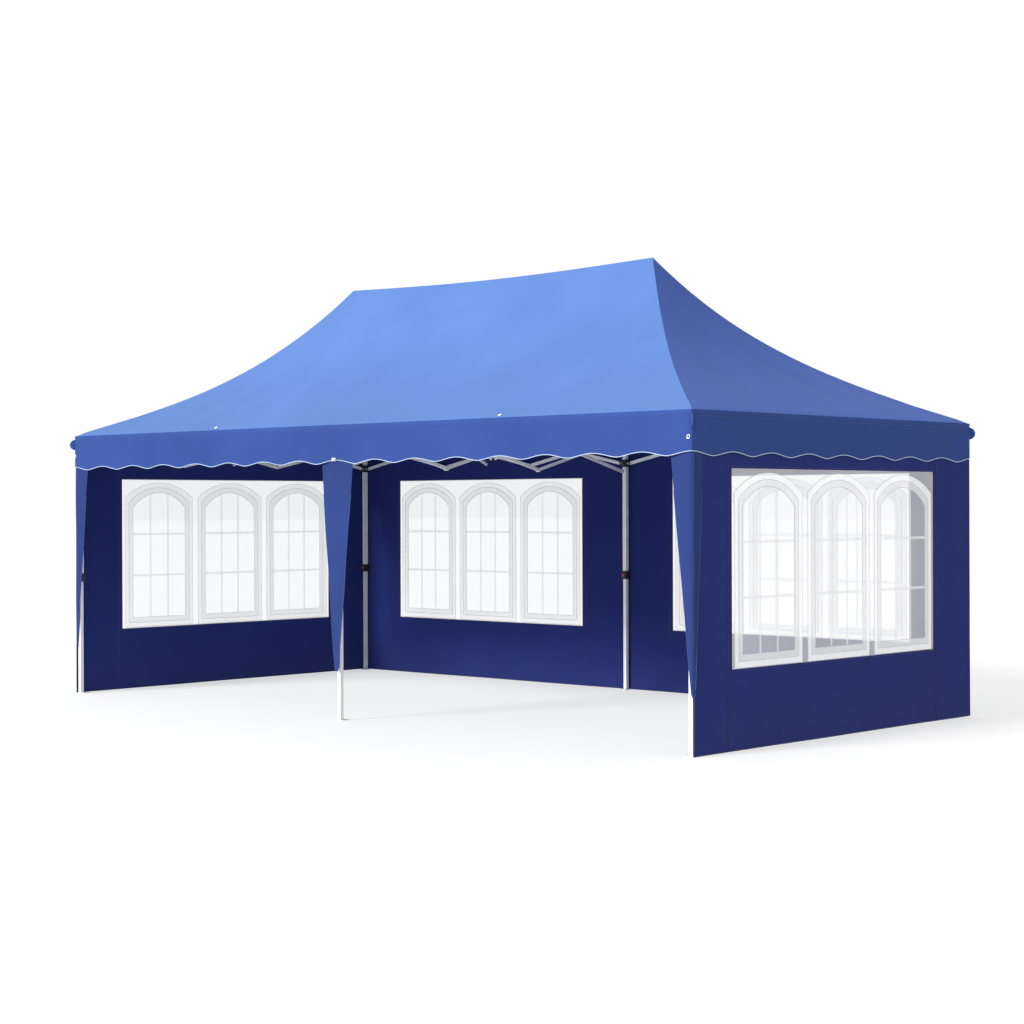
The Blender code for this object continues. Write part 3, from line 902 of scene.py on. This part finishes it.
def leg_details(leg):
    """Height-lock button with its housing, pull pin on the slider, and hinge rivets."""
    side, depth = LEGS[leg]
    axis = leg_axis(leg)
    body, slider = leg + "_leg", leg + "_slider"
    inner = Vector((0, -depth, 0))
    ways = [Vector((-1, 0, 0)), Vector((1, 0, 0))] if side == 0 else \
        [Vector((-side, 0, 0)), inner]
    lock = axis + inner * LOCK_FACE + UP * LOCK_Z
    low_pivot = axis + UP * (UPPER_Z - TRUSS)
    # raised housing and rib rings of the coupler
    bm = bmesh.new()
    rounded_box(bm, lock + inner * 0.0015, (0.014, 0.0045, 0.022), 0.003)
    for z in (LOCK_Z - 0.0245, LOCK_Z + 0.0245):
        rounded_box(bm, axis + UP * z, (TUBE_RING, TUBE_RING, 0.0022), 0.0012)
    add_piece(leg + "_lock_housing", bm, BLACK, body)
    bm = bmesh.new()
    button(bm, lock + inner * 0.0055, inner, 0.0085, 0.007, 24)
    add_piece(leg + "_lock_button", bm, RED, body)
    # slider: pull pin and two grip ribs
    bm = bmesh.new()
    button(bm, low_pivot + inner * 0.0228, inner, 0.0105, 0.006, 24)
    for z in (-0.022, 0.022):
        square_ring(bm, low_pivot + UP * z, RIB, RIB_BORE, 0.0018)
    bmesh.ops.remove_doubles(bm, verts=bm.verts, dist=0.00001)
    add_piece(leg + "_slider_ribs", bm, BLACK, slider, smooth=False)
    bm = bmesh.new()
    button(bm, low_pivot + inner * 0.0286, inner, 0.0065, 0.010, 20)
    add_piece(leg + "_slider_pull", bm, BLACK, slider)
    # rivets through the side plates of the head and of the slider
    for kind, z, rides in (("head", UPPER_Z - 0.004, body), ("slider", UPPER_Z - TRUSS, slider)):
        bm = bmesh.new()
        for way in ways:
            for face in (-1, 1):
                out = UP.cross(way) * face
                button(bm, axis + way * PIVOT_REACH + out * PLATE + UP * z, out,
                       0.0065, 0.0022, 16)
        add_piece("%s_%s_rivets" % (leg, kind), bm, RIVET, rides)


def square_ring(bm, centre, half, bore, thick):
    """A square ring that fits round the tube, added to bm; its bore has no wall."""
    turns = ((-1, -1), (1, -1), (1, 1), (-1, 1))

    def corner(turn, reach, level):
        return bm.verts.new(centre + Vector((turn[0] * reach, turn[1] * reach, level)))

    for a, b in zip(turns, turns[1:] + turns[:1]):
        for level, order in ((-thick, -1), (thick, 1)):
            quad = [corner(a, half, level), corner(b, half, level),
                    corner(b, bore, level), corner(a, bore, level)]
            bm.faces.new(quad[::order])
        bm.faces.new([corner(a, half, -thick), corner(b, half, -thick),
                      corner(b, half, thick), corner(a, half, thick)])


rivets()
for leg in LEGS:
    leg_details(leg)


INNER_BAR = (0.011, 0.0056)     # half height and half thickness of an inner bar
INNER_END = 0.012               # from the end pivot to the bar's end
INNER_PLANE = 0.0062            # from the truss plane to the middle of an inner bar


def flat_bar(bm, start, end, across):
    """A flat bar between two pivots, added to bm."""
    half_height, half_thick = INNER_BAR
    along = (end - start).normalized()
    rise = along.cross(across).normalized()
    ring = [bm.verts.new(point + along * (INNER_END * sign) + rise * (half_height * edge)
                         + across * shift)
            for shift in (-half_thick, half_thick)
            for point, sign in ((start, -1), (end, 1))
            for edge in (-sign, sign)]
    for quad in ((0, 1, 2, 3), (7, 6, 5, 4), (0, 4, 5, 1), (1, 5, 6, 2), (2, 6, 7, 3),
                 (3, 7, 4, 0)):
        bm.faces.new([ring[q] for q in quad])


def scissor_run(name, upper, lower, across, body, fold):
    """Scissor pairs between matching upper and lower pivots, with their rivets."""
    bars, heads = bmesh.new(), bmesh.new()
    for i in range(len(upper) - 1):
        for plane, start, end in ((-1, upper[i], lower[i + 1]), (1, lower[i], upper[i + 1])):
            shift = across * (plane * INNER_PLANE)
            flat_bar(bars, start + shift, end + shift, across)
            for place in (start, (start + end) / 2, end):
                button(heads, place + shift + across * (plane * 0.0054), across * plane,
                       0.007, 0.0024, 12)
    bmesh.ops.recalc_face_normals(bars, faces=bars.faces)
    for label, bm, paint in ((name, bars, STEEL), (name + "_rivets", heads, RIVET)):
        add_piece(label, bm, paint, body, smooth=False, fold=fold)


def middle_truss():
    """Cross truss between the two middle legs; on the real frame it shortens with the end bays,
    which is not modelled here.
    """
    start, reach = HALF_DEPTH - 0.045, 2 * HALF_DEPTH - 0.090
    high, low = UPPER_Z - 0.015, UPPER_Z - 0.262
    upper = [Vector((0, start - reach * i / PAIRS, high)) for i in range(PAIRS + 1)]
    lower = [Vector((p.x, p.y, low)) for p in upper]
    scissor_run("middle_cross_truss", upper, lower, Vector((1, 0, 0)), "back_middle_leg",
                ((0, 1, 0), (0, HALF_DEPTH, 0), COLLAPSE))


ARM_HIGH, ARM_LOW = 2.250, 2.085     # hubs on a peak pole
ARM_DROP_HIGH, ARM_DROP_LOW = 0.330, 0.335


def roof_arms():
    """Inner scissors that carry each peak pole, from the perimeter trusses to its hub."""
    for side, body in ((-1, "left_peak_pole"), (1, "right_peak_pole")):
        pole = Vector((side * RIDGE, 0, 0))
        for label, way in (("outer", Vector((side, 0, 0))), ("inner", Vector((-side, 0, 0))),
                           ("front", Vector((0, -1, 0))), ("back", Vector((0, 1, 0)))):
            far, near = HALF_DEPTH - 0.020, 0.030
            away = [near + (far - near) * k / 2 for k in range(3)]
            upper, lower = [[pole + way * reach + UP * (hub - drop * k / 2)
                             for k, reach in enumerate(away)]
                            for hub, drop in ((ARM_HIGH, ARM_DROP_HIGH), (ARM_LOW, ARM_DROP_LOW))]
            scissor_run("%s_%s_roof_arm" % (body[:-len("_peak_pole")], label), upper, lower,
                        UP.cross(way), body, (tuple(way), tuple(pole), 0.07))
        bm = bmesh.new()
        for z in (ARM_LOW + 0.001, ARM_HIGH):
            centre = pole + UP * z
            rounded_box(bm, centre, (0.021, 0.021, 0.018), 0.003)
            for half in ((0.038, 0.0125, 0.012), (0.0125, 0.038, 0.012)):
                rounded_box(bm, centre, half, 0.002)
        add_piece(body + "_hubs", bm, BLACK, body)


middle_truss()
roof_arms()


ACROSS = Vector((1, 0, 0))
TAB_Z, TAB_HALF, TAB_REACH, TAB_ROOT = 1.880, 0.040, 0.044, 0.014
TAB_SHARES = (0.0, 0.4, 0.7, 0.88, 1.0)     # rings of a tab, from its root line to its rim


def roof_eyelets():
    """Two metal eyelets in the front slope, just above the eave."""
    for name, x in (("roof_eyelet_left", -1.30), ("roof_eyelet_right", 1.45)):
        base = roof_point(x, -CY + 0.045)
        out = ACROSS.cross(roof_point(x, -CY + 0.055) - base).normalized()
        bm = bmesh.new()
        ring = ring_points(base + out * 0.001, ACROSS, out.cross(ACROSS), 0.010, 20)
        tube(bm, ring, 0.0036, 8, closed=True)
        button(bm, base - out * 0.001, out, 0.009, 0.003, 20)
        add_piece(name, bm, EYELET, "front_middle_leg",
                          fold=((1, 0, 0), (0, 0, 0), LONG_KEEP))


def corner_eyelets():
    """An eyelet in the valance beside each front corner."""
    for turn, leg in ((-1, "front_left"), (1, "front_right")):
        bm = bmesh.new()
        centre = Vector((turn * (CX - 0.030), -CY - 0.0008, 1.792))
        tube(bm, ring_points(centre, ACROSS, UP, 0.010, 20), 0.0030, 8, closed=True)
        add_piece(leg + "_corner_eyelet", bm, EYELET, leg + "_leg")


def corner_tabs():
    """Padded half-round tabs sewn into the four corners, under the eave."""
    for leg, (turn, depth) in LEGS.items():
        if turn == 0:
            continue
        out = Vector((turn, depth, 0)).normalized()
        across = UP.cross(out)
        corner = Vector((turn * (CX - 0.004), depth * (CY - 0.004), TAB_Z))
        bm = bmesh.new()
        for face in (-1, 1):
            rows = [[bm.verts.new(
                corner + out * (TAB_REACH * math.sin(math.pi * k / 16) * share - TAB_ROOT)
                + UP * (TAB_HALF * math.cos(math.pi * k / 16))
                + across * face * 0.007 * math.sqrt(max(0.0, 1 - share ** 4)))
                for k in range(17)] for share in TAB_SHARES]
            fill(bm, rows)
        bmesh.ops.remove_doubles(bm, verts=bm.verts, dist=0.00005)
        bmesh.ops.recalc_face_normals(bm, faces=bm.faces)
        tab = add_piece(leg + "_corner_tab", bm, VALANCE_CLOTH, leg + "_leg")


def cover_tie():
    """The white tie at the top of the middle leg cover."""
    bm = bmesh.new()
    knot = Vector((-0.018, -CY - 0.004, 1.716))
    tube(bm, [knot + Vector((0.030 * math.sin(t * 0.5) * (1 - t / 14), -0.002 * math.sin(t),
                             0.012 * math.sin(t * 1.15))) for t in range(15)], 0.0028, 6)
    button(bm, knot + Vector((0.004, 0.002, 0.0)), (0, -1, 0), 0.006, 0.006, 14)
    add_piece("front_middle_cover_tie", bm, TIE, "front_middle_leg")


roof_eyelets()
corner_eyelets()
corner_tabs()
cover_tie()

# ---- carried frame parts --------------------
for name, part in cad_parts.items():
    paint = BLACK if name.startswith("slider") else \
        LEG_STEEL if name.startswith("outer_leg") else STEEL
    part.data.materials.clear()
    part.data.materials.append(paint)

# ---- floor, light, world --------------------
bm = bmesh.new()
bmesh.ops.create_grid(bm, x_segments=1, y_segments=1, size=150.0)
mesh = bpy.data.meshes.new("studio_floor")
bm.to_mesh(mesh)
bm.free()
floor = bpy.data.objects.new("studio_floor", mesh)
floor.location = (0, 0, -0.0008)
floor_paint, tree, shader = new_material("floor_paint", (0.9, 0.9, 0.9))
uneven = noise(tree, add(tree, "TexCoord").outputs["Object"], 0.8)
plug(tree, shader, Roughness=0.9, Emission_Color=(1, 1, 1, 1), Emission_Strength=0.58,
     Base_Color=ramp(tree, uneven, [(0.3, (0.245, 0.245, 0.245)), (0.7, (0.255, 0.255, 0.255))]))
mesh.materials.append(floor_paint)
bpy.context.scene.collection.objects.link(floor)

bpy.context.scene.view_settings.view_transform = "Standard"
world = bpy.data.worlds.new("studio")
bpy.context.scene.world = world
world.use_nodes = True
plug(world.node_tree, world.node_tree.nodes["Background"], Color=(1.0, 1.0, 1.0, 1), Strength=1.0)


def sun(name, direction, strength, angle):
    data = bpy.data.lights.new(name, "SUN")
    data.energy = strength
    data.angle = math.radians(angle)
    thing = bpy.data.objects.new(name, data)
    thing.rotation_mode = "QUATERNION"
    thing.rotation_quaternion = Vector(direction).to_track_quat("Z", "Y")
    bpy.context.scene.collection.objects.link(thing)


sun("key", (-0.20, -0.86, 0.47), 4.7, 18)
